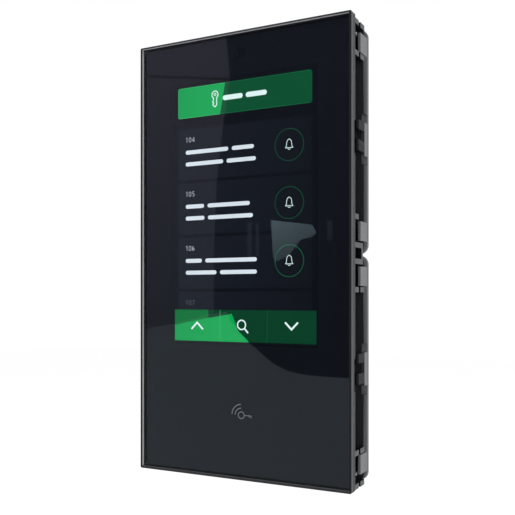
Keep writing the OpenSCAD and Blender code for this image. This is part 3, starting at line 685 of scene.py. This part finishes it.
# Each entry: number, then the words of the two name lines as stretches along X.
ENTRIES = (
    ("104", ((-54.5, -13.2), (-9.8, 10.6)), ((-54.5, -18.0), (-14.8, 12.4))),
    ("105", ((-54.5, -36.4), (-33.0, 6.9)), ((-54.5, -36.0), (-32.6, 9.7))),
    ("106", ((-54.5, -38.6), (-35.2, 13.3)), ((-54.5, -24.4), (-21.0, 13.3))),
)
WORD_H = 3.3
NUMBER_RISE = 10.2
for row, (number, first, second) in enumerate(ENTRIES):
    z = CARD_TOP_Z - CARD_PITCH * row
    ground = on_picture(0, z, LIST_W, CARD_H, 1.2, 1)
    artwork(f"card_{row + 1}", [ground], card_ground_painted_reflection)
    artwork(f"card_number_{row + 1}", number_sign(number, TEXT_X, z + NUMBER_RISE, 2), number_grey)
    words = [pill(a, b, z + 1.8 + PICTURE_Z, WORD_H, layer(2)) for a, b in first]
    words += [pill(a, b, z - 8.0 + PICTURE_Z, WORD_H, layer(2)) for a, b in second]
    artwork(f"card_words_{row + 1}", words, word_white)
    ring = line(arc(BELL_X, z, BELL_R, 0, 360 * 63 / 64, 63), 0.34, 2, True)
    artwork(f"bell_ring_{row + 1}", [ring], ring_bright if row == 2 else ring_green)
    artwork(f"bell_sign_{row + 1}", bell_icon(BELL_X, z, 2), white_ui)
last_z = CARD_TOP_Z - CARD_PITCH * 3
last_top = last_z + CARD_H / 2
last_low = NAV_Z + NAV_H / 2
artwork("card_4", [on_picture(0, (last_top + last_low) / 2, LIST_W, last_top - last_low, 0.6, 1)],
        card_ground_painted_reflection)
artwork("card_number_4", number_sign("107", TEXT_X, last_z + NUMBER_RISE, 2), number_dim)

# Bottom bar: up, search and down, on dark green with a lighter area at the left as a painted
# reflection, which also brightens the left divider.
artwork("nav_bar", [on_picture(0, NAV_Z, NAV_W, NAV_H, 0.3, 2)], nav_green)
third = NAV_W / 6
nav_left = -NAV_W / 2
nav_top = NAV_Z + NAV_H / 2
nav_low = NAV_Z - NAV_H / 2
strip_part = [(nav_left, nav_low), (-31.0, nav_low), (-32.4, nav_top), (nav_left, nav_top)]
artwork("nav_strip_painted_reflection", [slab(shifted(strip_part, 0, PICTURE_Z), *layer(3))], bar_middle_painted_reflection)
rise = [(-51.0, -89.5), (-34.5, -86.6), (-12.6, -83.2), (-10.0, -82.4), (-6.6, -89.6),
        (-4.0, -96.2), (4.5, -103.3)]
reflection_part = [(nav_left, nav_low), (6.0, nav_low)] + rise[::-1] + [(nav_left, -92.6)]
artwork("nav_painted_reflection", [slab(shifted(reflection_part, 0, PICTURE_Z), *layer(4))], bar_painted_reflection)
for name, x, paint in (("left", -third + 1, divider_painted_reflection), ("right", third + 1, divider_dark)):
    artwork(f"nav_divider_{name}", [line([(x, nav_low), (x, nav_top)], 0.32, 5)], paint)


def chevron(x, z, up, level):
    half_w, half_h = 5.6, 2.75
    points = [(x - half_w, z - up * half_h), (x, z + up * half_h), (x + half_w, z - up * half_h)]
    return line(points, 1.5, level)


artwork("up_sign", [chevron(-2 * third + 0.5, NAV_Z - 0.4, 1, 6)], white_ui)
artwork("down_sign", [chevron(2 * third + 0.6, NAV_Z + 0.9, -1, 6)], white_ui)
lens_ring = line(arc(-0.6, NAV_Z + 1.0, 3.7, 0, 360 * 47 / 48, 47), 1.1, 6, True)
handle = line([(2.2, NAV_Z - 1.9), (5.4, NAV_Z - 5.4)], 1.4, 6)
artwork("search_sign", [lens_ring, handle], white_ui)

# Reader mark printed behind the glass: a key with two waves.
mark = layer(0, MASK_Y)
MARK_W = 0.7
MARK_X = 0.3
MARK_Z = READER_Z - 3.3
key_bow = arc(MARK_X, MARK_Z, 2.7, 0, 350, 24)
key_blade = [(MARK_X + 2.7, MARK_Z), (MARK_X + 9.4, MARK_Z)]
key_teeth = [[(MARK_X + x, MARK_Z), (MARK_X + x, MARK_Z - drop)]
             for x, drop in ((7.3, 1.3), (9.1, 1.8))]
waves = [arc(MARK_X, MARK_Z, r, 92, 178, 14) for r in (5.6, 8.6)]
mark_parts = [stroke(key_bow, MARK_W, *mark, True), stroke(key_blade, MARK_W, *mark)]
mark_parts += [stroke(points, MARK_W, *mark) for points in key_teeth + waves]
artwork("reader_mark", mark_parts, reader_grey)

# ---- Studio ------------------------------------------------------------------------------

CAMERA = Vector((0.2891, FRONT_Y * MM - 0.4788, -0.0329))
CAMERA_TURN = math.radians(24.89)

camera_data = bpy.data.cameras.new("camera")
camera_data.sensor_width = 36.0
camera_data.lens = 49.072
camera_data.shift_x = -0.11165
camera_data.shift_y = 0.07631
camera_data.clip_start = 0.01
camera = bpy.data.objects.new("camera", camera_data)
camera.location = CAMERA
camera.rotation_euler = (math.radians(90), 0, CAMERA_TURN)
bpy.context.scene.collection.objects.link(camera)
bpy.context.scene.camera = camera

world = bpy.data.worlds.new("studio")
world.use_nodes = True
bpy.context.scene.world = world
background = world.node_tree.nodes["Background"]
background.inputs["Color"].default_value = (1.0, 1.0, 1.0, 1)
background.inputs["Strength"].default_value = 1.0
bpy.context.scene.view_settings.view_transform = "Standard"


def area_light(name, place, target, size, energy):
    data = bpy.data.lights.new(name, "AREA")
    data.shape = "RECTANGLE"
    data.size, data.size_y = size
    data.energy = energy
    lamp = bpy.data.objects.new(name, data)
    lamp.location = place
    lamp.rotation_euler = (Vector(target) - Vector(place)).to_track_quat("-Z", "Y").to_euler()
    lamp.visible_glossy = False
    bpy.context.scene.collection.objects.link(lamp)


area_light("side_light", (1.3, -0.5, 0.5), (0.09, 0, 0), (0.8, 1.2), 3)
area_light("top_light", (0.1, -0.3, 1.6), (0, 0, 0), (1.2, 1.2), 5)

FLOOR_Z = -0.45


def stage_plate(name, corners, material):
    mesh = bpy.data.meshes.new(name)
    mesh.from_pydata(corners, [], [list(range(len(corners)))])
    mesh.materials.append(material)
    obj = bpy.data.objects.new(name, mesh)
    bpy.context.scene.collection.objects.link(obj)
    obj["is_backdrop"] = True
    return obj


floor_paint = plastic("floor_paint", (0.985, 0.985, 0.985), 0.9, 6.0, 0.05, 0.01, 0.0)
floor = stage_plate("floor", [(-4, -4, FLOOR_Z), (4, -4, FLOOR_Z), (4, 4, FLOOR_Z), (-4, 4, FLOOR_Z)],
                    floor_paint)
floor.visible_glossy = False
floor.visible_transmission = False


def glow(name, low_z, low_colour, high_z, high_colour, fade=None):
    """Light that changes evenly between two heights, and along X if fade names two places and
    the share of light left at each, in metres."""
    m = Nodes(name)
    split = m.add("ShaderNodeSeparateXYZ")
    m.link(m.coords.outputs["Object"], split.inputs["Vector"])
    place = m.add("ShaderNodeMapRange")
    place.inputs["From Min"].default_value = low_z
    place.inputs["From Max"].default_value = high_z
    m.link(split.outputs["Z"], place.inputs["Value"])
    ramp = m.add("ShaderNodeValToRGB")
    ramp.color_ramp.elements[0].color = (*low_colour, 1)
    ramp.color_ramp.elements[1].color = (*high_colour, 1)
    m.link(place.outputs["Result"], ramp.inputs["Fac"])
    emission = m.add("ShaderNodeEmission")
    m.link(ramp.outputs["Color"], emission.inputs["Color"])
    if fade:
        share = m.add("ShaderNodeMapRange")
        for socket, value in zip(("From Min", "To Min", "From Max", "To Max"), fade):
            share.inputs[socket].default_value = value
        m.link(split.outputs["X"], share.inputs["Value"])
        m.link(share.outputs["Result"], emission.inputs["Strength"])
    m.link(emission.outputs["Emission"], m.output.inputs["Surface"])
    return m.material


def reflection_only(obj):
    """A card hidden from the camera, from diffuse light, from shadows and from volumes, so that it
    shows in glossy surfaces.
    """
    obj.visible_camera = False
    obj.visible_diffuse = False
    obj.visible_volume_scatter = False
    obj.visible_shadow = False


def seen_in_glass(x, z, distance):
    """Where a card this far in front of the glass shows at (x, z) on it, in metres."""
    point = Vector((x * MM, GLASS_Y * MM, z * MM))
    ray = point - CAMERA
    reach = distance / ray.y
    return (point.x + ray.x * reach, point.y - distance, point.z + ray.z * reach)


def card(name, outline, distance, low_colour, high_colour, right_share=None):
    corners = [seen_in_glass(x, z, distance) for x, z in outline]
    across = [corner[0] for corner in corners]
    heights = [corner[2] for corner in corners]
    fade = (min(across), 1.0, max(across), right_share) if right_share else None
    paint = glow(name, min(heights), low_colour, max(heights), high_colour, fade)
    reflection_only(stage_plate(name, corners, paint))


HALF_W = rim_w / 2
HALF_H = rim_h / 2
card("dark_wall", [(-300, -260), (260, -260), (260, 300), (-300, 300)], 0.72,
     (0.025, 0.04, 0.055), (0.085, 0.105, 0.15))
left_edge = [(-12.5, HALF_H + 20), (-12.5, 172), (-9.7, 142), (-15.3, 109), (-21.9, 61),
             (-24.7, 5), (-24.7, -62)]
card("left_wall", [(-HALF_W - 30, HALF_H + 20)] + left_edge + [(-HALF_W - 30, -62)], 0.69,
     (0.14, 0.17, 0.215), (0.27, 0.28, 0.36))
lower_edge = [(-HALF_W - 30, -66), (-62, -55), (-34, -48), (-12, -45), (-9, -52), (4, -66),
              (16, -75), (28, -84), (42, -90), (58, -92.5), (75, -93), (HALF_W + 30, -94)]
card("lower_wall", lower_edge + [(HALF_W + 30, -HALF_H - 60), (-HALF_W - 30, -HALF_H - 60)], 0.66,
     (0.27, 0.315, 0.36), (0.27, 0.32, 0.365))
card("window", [(27.9, 26.9), (63.4, 21.8), (66.7, 16), (63.4, 12.4), (53.3, 10.8), (49.9, 6),
                (45.6, 1.5), (39.5, -3), (31.7, -5.9), (29.5, -0.4)], 0.69,
     (0.30, 0.44, 0.47), (0.74, 1.03, 1.18), 0.7)
STREAKS = (("left", 6.6, 10.7, -2.3, 26.0), ("middle", 14.3, 17.0, -0.9, 24.9),
           ("right", 75.6, 79.9, 9.3, 24.2))
for name, left, right, low, high in STREAKS:
    card(f"window_streak_{name}", [(left, high), (right, high), (right, low), (left, low)], 0.69,
         (0.12, 0.155, 0.19), (0.145, 0.195, 0.235))
card("ledge", [(-92, 156), (-10, 142.5), (-10, 140.5), (-92, 153.5)], 0.67,
     (0.13, 0.14, 0.17), (0.15, 0.16, 0.2))

low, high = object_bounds()
